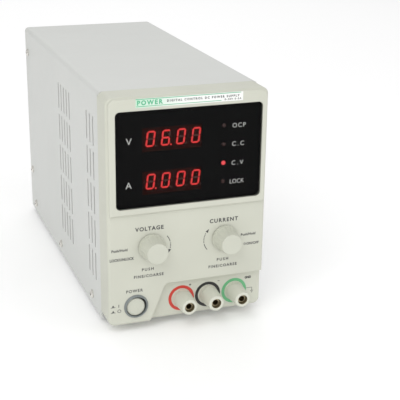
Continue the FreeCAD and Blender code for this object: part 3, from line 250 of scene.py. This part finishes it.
def can_sleeve():
    """A capacitor's printed sleeve with a bare aluminium top."""
    made = Shader("can_sleeve", (0.02, 0.025, 0.06), 0.3)
    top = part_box("filter_capacitors")[1].z
    bare = made.math("GREATER_THAN", made.axis("Z"), top - 0.3 * MM)
    made.paint(made.ramp(bare, [(0.0, (0.02, 0.025, 0.07)), (1.0, (0.75, 0.75, 0.76))]))
    return made.link(bare, made.bsdf.inputs["Metallic"]).grain(900, 0.00001)


def smoked_lens():
    return Shader("window_lens", (0.0, 0.0, 0.0), 0.12, Alpha=0.3, IOR=1.13).sheen_spots(0.03, 200)


def glass_fuse():
    """A glass tube between two nickel caps."""
    made = Shader("fuse_glass", (0.7, 0.72, 0.72), 0.08)
    low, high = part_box("fuse_link")
    along = made.math("ABSOLUTE", made.math("SUBTRACT", made.axis("Y"), (low.y + high.y) / 2), 0)
    cap = made.math("GREATER_THAN", along, (high.y - low.y) / 2 - 5 * MM)
    made.link(cap, made.bsdf.inputs["Metallic"])
    return made.link(made.scaled(cap, 0.45, 1.0), made.bsdf.inputs["Alpha"]).mottle(0.05, 300)


def cap_moulding(node):
    """Cream moulding outside; the mouth is painted dark, partly the dull metal lining's colour and partly
    painted shade of the hole.
    """
    cream, brass_and_shade, mouth = (0.595, 0.605, 0.520), (0.13, 0.105, 0.055), 3.35 * MM
    made = Shader(node + "_moulding", cream, 0.42)
    low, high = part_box(node)
    centre = (low + high) / 2
    x = made.math("SUBTRACT", made.axis("X"), centre.x)
    z = made.math("SUBTRACT", made.axis("Z"), centre.z)
    far = made.math("ADD", made.math("MULTIPLY", x, x), made.math("MULTIPLY", z, z))
    # painted shade: within the mouth's radius the moulding takes a dark yellow-brown, the lining's tone
    # darkened as shade in the hole
    mouth_shade = made.math("LESS_THAN", far, mouth * mouth)
    made.paint(made.ramp(mouth_shade, [(0.0, cream), (1.0, brass_and_shade)]))
    return made.sheen_spots(0.05).grain(3200, 0.000015)


GREY, CREAM = (0.580, 0.590, 0.566), (0.555, 0.562, 0.484)

LOOKS = {
    "cover_paint": painted("cover_paint", GREY),
    "plated_sheet": metal("plated_sheet", (0.66, 0.66, 0.64), 0.34, (900, 30, 900)),
    "bezel_plastic": moulded("bezel_plastic", CREAM, 0.5, 2400, 0.00002, Specular_IOR_Level=0.35),
    "knob_plastic": moulded("knob_plastic", (0.535, 0.545, 0.465), 0.42, 3200, 0.000015),
    "ring_plastic": moulded("ring_plastic", (0.19, 0.21, 0.21), 0.32, 2600, 0.00001),
    "screw_steel": metal("screw_steel", (0.72, 0.70, 0.66), 0.26, (700, 700, 700), 0.000006),
    "foot_rubber": moulded("foot_rubber", (0.018, 0.018, 0.018), 0.75, 1500, 0.00005),
    "window_lens": smoked_lens(),
    "black_print": moulded("black_print", (0.004, 0.004, 0.0042), 0.5, 2000, 0.000005,
                           Specular_IOR_Level=0.1),
    "board_laminate": circuit_board("board_laminate"),
    "readout_face": moulded("readout_face", (0.054, 0.0150, 0.0115), 0.35, 2000, 0.000005,
                            Specular_IOR_Level=0.15),
    "lamp_resin": lamp_resin(),
    "black_moulding": moulded("black_moulding", (0.022, 0.022, 0.024), 0.42, 2200, 0.00003),
    "encoder_metal": metal("encoder_metal", (0.80, 0.80, 0.81), 0.3, (1200, 40, 1200)),
    "pale_moulding": moulded("pale_moulding", (0.68, 0.67, 0.58), 0.45, 1800, 0.00002),
    "red_moulding": moulded("red_moulding", (0.50, 0.025, 0.018), 0.38),
    "relay_case": moulded("relay_case", (0.02, 0.075, 0.30), 0.28, 2000, 0.00001),
    "post_brass": metal("post_brass", (0.83, 0.80, 0.72), 0.22, (1500, 1500, 1500)),
    "core_steel": laminated_core(),
    "winding_tape": taped_winding(),
    "wire_insulation": lead_insulation(),
    "fuse_glass": glass_fuse(),
}


def dress_nodes():
    """Gives every CAD node the procedural material of its record slot."""
    slots = {s["node"]: s["material_slot"] for s in frame["record"]["subparts"]}
    special = {"filter_capacitors": can_sleeve()}
    dull_brass = metal("dull_brass", (0.40, 0.34, 0.22), 0.36, (1500, 1500, 1500))
    for colour in ("positive", "negative", "earth"):
        special[colour + "_post_cap"] = cap_moulding(colour + "_post_cap")
        special[colour + "_post_stud"] = special[colour + "_cap_insert"] = dull_brass
    for name, obj in frame["nodes"].items():
        look = special.get(name) or LOOKS[slots[name]]
        obj.data.materials.clear()
        obj.data.materials.append(look.mat)


# ---------------------------------------------------------------- mesh pieces


def add_piece(name, mesh, look, body=CABINET):
    obj = bpy.data.objects.new(name, mesh)
    bpy.context.scene.collection.objects.link(obj)
    mesh.materials.append(look.mat)
    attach(obj, body)
    return obj


def flat_shapes(outlines, thickness):
    """A mesh of thin solid shapes from closed outlines of (x, z) in millimetres, their faces at y = 0."""
    work = bmesh.new()
    for outline in outlines:
        area = sum(a[0] * b[1] - b[0] * a[1] for a, b in zip(outline, outline[1:] + outline[:1]))
        ring = outline if area > 0 else outline[::-1]
        front = [work.verts.new((x * MM, -thickness, z * MM)) for x, z in ring]
        back = [work.verts.new((x * MM, 0, z * MM)) for x, z in ring]
        work.faces.new(front)
        work.faces.new(back[::-1])
        for i in range(len(ring)):
            j = (i + 1) % len(ring)
            work.faces.new((front[j], front[i], back[i], back[j]))
    mesh = bpy.data.meshes.new("shapes")
    bmesh.ops.recalc_face_normals(work, faces=work.faces)
    work.to_mesh(mesh)
    work.free()
    return mesh


def lathed(profile, sides):
    """A closed turned solid about the Y axis from (radius, y) points, back to front."""
    work = bmesh.new()
    rings = [[work.verts.new((r * math.cos(math.tau * i / sides), y, r * math.sin(math.tau * i / sides)))
              for i in range(sides)] for r, y in profile]
    for back, front in zip(rings, rings[1:]):
        for i in range(sides):
            j = (i + 1) % sides
            work.faces.new((back[i], back[j], front[j], front[i]))
    work.faces.new(rings[0][::-1])
    work.faces.new(rings[-1])
    mesh = bpy.data.meshes.new("turned")
    bmesh.ops.recalc_face_normals(work, faces=work.faces)
    work.to_mesh(mesh)
    work.free()
    mesh.shade_smooth()
    return mesh


def lay(name, outlines, level, look, thickness=INK):
    """Flat shapes printed on the plane y = level, facing the front."""
    mesh = flat_shapes(outlines, thickness)
    mesh.transform(Matrix.Translation((0, level, 0)))
    return add_piece(name, mesh, look)


def arc_band(cx, cz, radius, width, start, end, steps=None):
    """One stretch of ring, from one angle to another in degrees, as an outline."""
    steps = steps or max(2, int(abs(end - start) / 5))
    turns = [math.radians(start + (end - start) * i / steps) for i in range(steps + 1)]
    far, near = radius + width / 2, radius - width / 2
    outer = [(cx + far * math.cos(t), cz + far * math.sin(t)) for t in turns]
    inner = [(cx + near * math.cos(t), cz + near * math.sin(t)) for t in turns]
    return outer + inner[::-1]


def ring_bands(cx, cz, radius, width, parts=4):
    """A whole ring as a few stretches that meet."""
    step = 360 / parts
    return [arc_band(cx, cz, radius, width, step * i, step * (i + 1), 14) for i in range(parts)]


def bar(x0, z0, x1, z1, width):
    """A straight stroke between two points."""
    along = Vector((x1 - x0, z1 - z0)).normalized() * (width / 2)
    side = Vector((-along.y, along.x))
    return [(x0 + side.x, z0 + side.y), (x0 - side.x, z0 - side.y),
            (x1 - side.x, z1 - side.y), (x1 + side.x, z1 + side.y)]


def lettering(text, bold, spacing=1.0):
    """A line of text as a mesh, one em high."""
    curve = bpy.data.curves.new(text, "FONT")
    curve.body = text
    curve.offset = bold
    curve.extrude = 0.5
    curve.resolution_u = 4
    curve.space_character = spacing
    holder = bpy.data.objects.new(text, curve)
    bpy.context.scene.collection.objects.link(holder)
    bpy.context.view_layer.update()
    graph = bpy.context.evaluated_depsgraph_get()
    mesh = bpy.data.meshes.new_from_object(holder.evaluated_get(graph))
    bpy.data.objects.remove(holder)
    return mesh


def reach(mesh, axis):
    """The least and the greatest coordinate of a mesh along one axis."""
    spots = [vertex.co[axis] for vertex in mesh.vertices]
    return min(spots), max(spots)


def write(name, text, x, z, cap_height, level, look, width, bold, behind=False):
    """One line of lettering centred on (x, z) in millimetres: capitals of one height, spaced to a width.

    Text with marks that pass below the line takes the font's own capital height.
    """
    mesh = lettering(text, bold)
    low, high = (0.0, 0.73) if any(c in text for c in "gjpqy,/") else reach(mesh, 1)
    tall = cap_height * MM / (high - low)
    left, right = reach(mesh, 0)
    wide = tall
    if width and width * MM < (right - left) * tall:
        wide = width * MM / (right - left)
    elif width and len(text) > 1:
        gap = (width * MM / tall - (right - left)) / (len(text) - 1)
        mesh = lettering(text, bold, 1 + 2 * gap)
        left, right = reach(mesh, 0)
    mesh.transform(Matrix.Translation((-(left + right) / 2, -(low + high) / 2, 0)))
    mesh.transform(Matrix.Diagonal((wide, tall, LETTER_INK, 1)))
    mesh.transform(Matrix.Rotation(math.pi / 2, 4, "X"))
    if behind:
        mesh.transform(Matrix.Rotation(math.pi, 4, "Z"))
    mesh.transform(Matrix.Translation((x * MM, level, z * MM)))
    return add_piece(name, mesh, look)


# ---------------------------------------------------------------- display

RED_LIT = Shader("segment_lit", (0.25, 0.02, 0.015), 0.5)
RED_DIM = moulded("segment_unlit", (0.150, 0.056, 0.047), 0.5, 1500, 0.000005)
WHITE_INK = moulded("white_ink", (0.50, 0.50, 0.485), 0.5, 1500, 0.000005)
DARK_INK = moulded("dark_ink", (0.055, 0.055, 0.058), 0.55, 1500, 0.000005)
SEGMENTS = {"0": "abcdef", "1": "bc", "2": "abged", "3": "abgcd", "4": "fgbc", "5": "afgcd",
            "6": "afgedc", "7": "abc", "8": "abcdefg", "9": "abcdfg"}


def light_segments():
    """Makes the lit segments glow, a little unevenly."""
    reds = [(0.3, (1.0, 0.050, 0.050)), (0.7, (1.0, 0.070, 0.068))]
    RED_LIT.link(RED_LIT.ramp(RED_LIT.noise(700, 1.0), reds), RED_LIT.bsdf.inputs["Emission Color"])
    RED_LIT.bsdf.inputs["Emission Strength"].default_value = 1.35


def segment_outline(letter, w, h, t):
    """One segment of a digit whose box runs from the origin to (w, h), with bevelled ends."""
    g, mid, b = 0.1, h / 2, t / 2
    level = {"a": h - b, "g": mid, "d": b}
    if letter in level:
        y = level[letter]
        left, right = b + g, w - b - g
        return [(left, y), (left + b, y - b), (right - b, y - b),
                (right, y), (right - b, y + b), (left + b, y + b)]
    x = b if letter in "ef" else w - b
    low, high = (b + g, mid - g) if letter in "ec" else (mid + g, h - b - g)
    return [(x, low), (x + b, low + b), (x + b, high - b),
            (x, high), (x - b, high - b), (x - b, low + b)]


def digits():
    """The two readings, with their unlit segments just visible."""
    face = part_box("readouts")[0].y - 0.03 * MM
    low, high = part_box("readouts")
    w, h, stroke, pitch, lean = 5.9, 10.5, 1.15, 10.2, math.tan(math.radians(7.5))
    dot_gap, dot_radius, dot_height = 0.45, 0.6, 0.5
    middle = (low.x + high.x) / 2 / MM + 1.0
    rows = {"upper": (high.z / MM - 7.4, "0600", 1), "lower": (low.z / MM + 8.6, "0000", 0)}
    for row, (centre, reading, point_after) in rows.items():
        lit, dim = [], []
        for place, figure in enumerate(reading):
            left = middle + (place - 1.5) * pitch - w / 2
            for letter in "abcdefg":
                shape = [(left + x + (y - h / 2) * lean, centre - h / 2 + y)
                         for x, y in segment_outline(letter, w, h, stroke)]
                (lit if letter in SEGMENTS[figure] else dim).append(shape)
            dot_x, dot_z = left + w + dot_gap, centre - h / 2 + dot_height
            dot = [(dot_x + dot_radius * math.cos(t), dot_z + dot_radius * math.sin(t))
                   for t in (math.tau * i / 16 for i in range(16))]
            (lit if place == point_after else dim).append(dot)
        lay(f"{row}_lit_segments", lit, face, RED_LIT)
        lay(f"{row}_unlit_segments", dim, face, RED_DIM)


def mask_coat():
    """The black print in front of the mask: everywhere but over the two readouts."""
    low, high = (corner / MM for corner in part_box("window_mask"))
    left, right = (corner.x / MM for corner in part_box("readouts"))
    below, above = (corner.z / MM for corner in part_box("readouts"))
    cut = 3.0
    shapes = [box_outline(left, right, low.z, below),
              box_outline(left, right, below + READOUT_TALL, above - READOUT_TALL),
              box_outline(left, right, above, high.z)]
    for edge, out, inn in ((left, low.x, low.x + cut), (right, high.x, high.x - cut)):
        shapes.append([(edge, low.z), (edge, high.z), (inn, high.z), (out, high.z - cut),
                       (out, low.z + cut), (inn, low.z)])
    lay("mask_coat", shapes, low.y * MM, LOOKS["black_print"], 0.05 * MM)


def lamp_domes():
    """Clear resin domes that fill the mask's holes in front of the indicators."""
    low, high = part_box("indicators")
    tip, x, across = low.y, (low.x + high.x) / 2, high.x - low.x
    radius, rise, skirt = 1.5 * MM, 1.1 * MM, 0.3 * MM
    top, pitch = high.z - across / 2, (high.z - low.z - across) / 3
    turns = [math.pi / 2 * k / 6 for k in range(6)]
    dome = [(radius, skirt)] + [(radius * math.cos(t), -rise * math.sin(t)) for t in turns]
    for i in range(4):
        mesh = lathed(dome, 28)
        mesh.transform(Matrix.Translation((x, tip, top - pitch * i)))
        add_piece(f"indicator_dome_{i}", mesh, LOOKS["lamp_resin"])


def window_legends():
    """The letters of the two readings and the names of the four indicators."""
    write("volt_letter", "V", -40.5, 133.8, 4.3, LENS, WHITE_INK, 4.1, FINE)
    write("amp_letter", "A", -40.9, 104.8, 4.2, LENS, WHITE_INK, 4.3, FINE)
    legends = (("OCP", 34.0, 138.8, 9.2), ("C.C", 33.6, 126.4, 8.3), ("C.V", 33.5, 113.4, 8.2),
               ("LOCK", 33.4, 100.6, 10.0))
    for i, (word, x, z, width) in enumerate(legends):
        write(f"indicator_legend_{i}", word, x, z, 2.9, LENS, WHITE_INK, width, FINE)


# ---------------------------------------------------------------- front panel printing

GREEN = moulded("green_print", (0.10, 0.43, 0.24), 0.5, 1500, 0.000005)
GREEN_RING = moulded("green_ring_print", (0.13, 0.42, 0.20), 0.5, 1500, 0.000005)
RED_PRINT = moulded("red_print", (0.56, 0.045, 0.030), 0.45, 1500, 0.000005)
BLACK_PRINT = moulded("black_ring_print", (0.018, 0.018, 0.018), 0.45, 1500, 0.000005)
STRIP_ENDS = (-36.0, 36.0)


def strip_print():
    """Pale green at the left, fading to white."""
    made = Shader("strip_print", (0.80, 0.81, 0.79), 0.4)
    along = made.scaled(made.axis("X"), 0, 1, STRIP_ENDS[0] * MM, STRIP_ENDS[1] * MM)
    made.paint(made.ramp(along, [(0.0, (0.50, 0.70, 0.56)), (0.45, made.colour)]))
    return made.grain(1500, 0.000005)


def box_outline(x0, x1, z0, z1):
    """An upright rectangle as an outline."""
    return [(x0, z0), (x1, z0), (x1, z1), (x0, z1)]


def top_strip():
    """A printed strip above the window: pale, edged in green, with generic wording."""
    (left, right), foil = STRIP_ENDS, 0.08 * MM
    lay("top_strip", [box_outline(left, right, 155.3, 161.1)], FRONT, strip_print(), foil)
    face = FRONT - foil
    lay("top_strip_lines", [
        box_outline(left, right - 1.5, 160.4, 160.85),
        box_outline(left + 0.4, 21.0, 155.9, 156.3)], face, GREEN)
    write("strip_heading", "POWER", -26.6, 158.4, 3.2, face, GREEN, 17.0, BOLD)
    write("strip_wording", "DIGITAL CONTROL DC POWER SUPPLY", 9.0, 158.6, 1.5, face, DARK_INK, 49, 0.045)
    write("strip_rating", "0-30V 0-5A", 29.0, 156.6, 1.25, face, DARK_INK, 11.5, 0.035)


def knob_legends():
    """The titles and the small print round the two knobs."""
    titles = (("voltage", "VOLTAGE", -26.7, 73.5, 19.5), ("current", "CURRENT", 25.45, 73.4, 20.3))
    for side, word, x, z, width in titles:
        write(side + "_title", word, x, z, 2.9, PANEL, DARK_INK, width, 0.035)
    small = (("voltage_push", "PUSH", -27.9, 44.7, 2.1, 8.2),
             ("current_push", "PUSH", 25.1, 45.0, 2.1, 8.3),
             ("voltage_steps", "FINE/COARSE", -27.2, 40.1, 2.0, 20.6),
             ("current_steps", "FINE/COARSE", 25.3, 40.4, 2.0, 20.5),
             ("hold_left", "Push/Hold", -47.1, 60.4, 1.8, 10.8),
             ("lock_left", "LOCK/UNLOCK", -45.5, 53.9, 1.9, 16.5),
             ("hold_right", "Push/Hold", 43.4, 61.1, 1.8, 10.7),
             ("output_right", "ON/OFF", 46.9, 54.1, 1.8, 9.2))
    for name, word, x, z, height, width in small:
        write(name, word, x, z, height, PANEL, DARK_INK, width, 0.035)
    turn_marks()


def turn_marks():
    """Beside each knob an arc: solid at one end, then dashes, then an arrowhead. Also the output icon."""
    radius, tip_radius, dash, step = 10.1, 10.3, 3.5, 6
    marks = [arc_band(41.1, 54.1, 0.75, 0.3, 125, 415, 20), bar(41.1, 54.1, 41.1, 55.2, 0.3)]
    for cx, cz, half_turn, further in ((-22.2, 60.2, 0, 0), (21.4, 60.0, 180, 3)):
        marks.append(arc_band(cx, cz, radius, 0.5, half_turn + 41, half_turn + 14))
        for i in range(4 + further):
            start = half_turn + 9 - step * i
            marks.append(arc_band(cx, cz, radius, 0.65, start, start - dash, 2))
        turn = half_turn - 33 - step * further
        tip = math.radians(turn)
        point = cx + tip_radius * math.cos(tip), cz + tip_radius * math.sin(tip)
        marks.append(arrow(*point, turn - 76, 2.7))
    lay("turn_marks", marks, PANEL, DARK_INK)


def arrow(x, z, heading, size):
    """A filled arrowhead whose tip is at (x, z)."""
    t = math.radians(heading)
    ahead, side = Vector((math.cos(t), math.sin(t))), Vector((-math.sin(t), math.cos(t)))
    base = Vector((x, z)) - ahead * size
    left, right = base + side * size * 0.36, base - side * size * 0.36
    return [(x, z), (left.x, left.y), (right.x, right.y)]


def power_legends():
    """The mains button's title, and its raised and pressed symbols."""
    write("power_title", "POWER", -37.1, 30.2, 2.2, PANEL, DARK_INK, 11.6, 0.025)
    strokes = []
    for z in (20.1, 16.2):
        strokes.append(bar(-53.6, z, -50.4, z, 0.35))
        strokes.append([(-52.9, z + 0.3), (-51.1, z + 0.3), (-52.0, z + 1.7)])
    strokes.append(bar(-48.1, 19.7, -48.1, 21.8, 0.45))
    strokes += ring_bands(-47.8, 17.0, 1.1, 0.35)
    lay("power_icons", strokes, PANEL, DARK_INK)


def post_markings():
    """A coloured ring behind each post, the signs and the earth symbol."""
    inner, outer = 7.1, 9.2
    posts = (("positive", RED_PRINT, -0.5), ("negative", BLACK_PRINT, -0.4), ("earth", GREEN_RING, 0.0))
    for colour, look, left in posts:
        low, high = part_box(colour + "_post_stud")
        x, z = (low.x + high.x) / 2 / MM + left, (low.z + high.z) / 2 / MM
        ring = ring_bands(x, z, (inner + outer) / 2, outer - inner)
        lay(colour + "_ring", ring, BAY, look, 0.05 * MM)
    signs = [bar(2.6, 27.3, 4.2, 27.3, 0.45), bar(3.4, 26.5, 3.4, 28.1, 0.45),
             bar(23.4, 27.2, 24.9, 27.2, 0.4)]
    signs += [bar(44.9, 18.8, 49.2, 18.8, 0.3), bar(49.2, 18.8, 49.2, 16.5, 0.3)]
    for i, half in enumerate((1.2, 0.8, 0.4)):
        signs.append(bar(49.2 - half, 16.4 - 0.7 * i, 49.2 + half, 16.4 - 0.7 * i, 0.3))
    lay("post_signs", signs, BAY, DARK_INK)
    write("ground_title", "GND", 46.0, 26.9, 1.9, BAY, BLACK_PRINT, 4.8, 0.06)


# ---------------------------------------------------------------- back

def rear_legends():
    """Generic wording beside the inlet, the fuse and the voltage selector."""
    write("inlet_title", "AC INPUT", 26, 60.5, 2.4, REAR, DARK_INK, None, 0.02, behind=True)
    write("fuse_title", "FUSE", 26, 11.0, 2.2, REAR, DARK_INK, None, 0.02, behind=True)
    write("selector_title", "LINE VOLTAGE", -26, 48.5, 2.2, REAR, DARK_INK, None, 0.02, behind=True)
    write("selector_low", "110V", -33.5, 26.5, 2.0, REAR, DARK_INK, None, 0.02, behind=True)
    write("selector_high", "220V", -18.5, 26.5, 2.0, REAR, DARK_INK, None, 0.02, behind=True)


# ---------------------------------------------------------------- studio


def studio():
    """A plain pale floor and soft light."""
    floor = bpy.data.objects.new("floor", flat_shapes([box_outline(-9000, 9000, -9000, 9000)], 1 * MM))
    floor.data.transform(Matrix.Rotation(-math.pi / 2, 4, "X"))
    floor.data.transform(Matrix.Translation((0, 0, -1 * MM)))
    bpy.context.scene.collection.objects.link(floor)
    paper = Shader("studio_paper", (0.955, 0.955, 0.955), 0.9, Specular_IOR_Level=0.05).mottle(0.004, 2)
    paper.bsdf.inputs["Emission Color"].default_value = (1, 1, 1, 1)
    paper.bsdf.inputs["Emission Strength"].default_value = 0.08
    floor.data.materials.append(paper.mat)
    world = bpy.data.worlds.new("studio")
    bpy.context.scene.world = world
    world.use_nodes = True
    world.node_tree.nodes["Background"].inputs["Color"].default_value = (1, 1, 1, 1)
    world.node_tree.nodes["Background"].inputs["Strength"].default_value = 0.70
    add_light("key", (-0.9, -1.1, 1.5), 13, 1.3)
    add_light("fill", (1.3, -1.2, 0.9), 3.5, 1.3)
    add_light("back", (0.3, 1.4, 1.4), 5, 1.2)
    add_light("low", (-0.25, -1.3, 0.22), 3.2, 1.0)
    bpy.context.scene.view_settings.view_transform = "Standard"


def add_light(name, spot, power, size):
    data = bpy.data.lights.new(name, "AREA")
    data.energy, data.size = power, size
    lamp = bpy.data.objects.new(name, data)
    lamp.location = spot
    lamp.rotation_euler = (Vector((0, 0, 0.08)) - Vector(spot)).to_track_quat("-Z", "Y").to_euler()
    bpy.context.scene.collection.objects.link(lamp)


def camera():
    """The photograph's viewpoint: to the left of the front, looking down, with a slight roll."""
    azimuth, elevation, roll = math.radians(-20.44), math.radians(19.80), math.radians(0.86)
    back = Vector((math.sin(azimuth) * math.cos(elevation), -math.cos(azimuth) * math.cos(elevation),
                   math.sin(elevation)))
    right = (-back).cross(Vector((0, 0, 1))).normalized()
    up = right.cross(-back)
    right, up = (right * math.cos(roll) + up * math.sin(roll), up * math.cos(roll) - right * math.sin(roll))
    data = bpy.data.cameras.new("camera")
    data.lens, data.sensor_width = 90.05, 36.0
    eye = bpy.data.objects.new("camera", data)
    spot = Vector((-0.2081, FRONT - 0.5785, 0.3123))
    eye.matrix_world = Matrix.Translation(spot) @ Matrix((right, up, back)).transposed().to_4x4()
    bpy.context.scene.collection.objects.link(eye)
    bpy.context.scene.camera = eye


dress_nodes()
light_segments()
digits()
mask_coat()
lamp_domes()
window_legends()
top_strip()
knob_legends()
power_legends()
post_markings()
rear_legends()
studio()
camera()
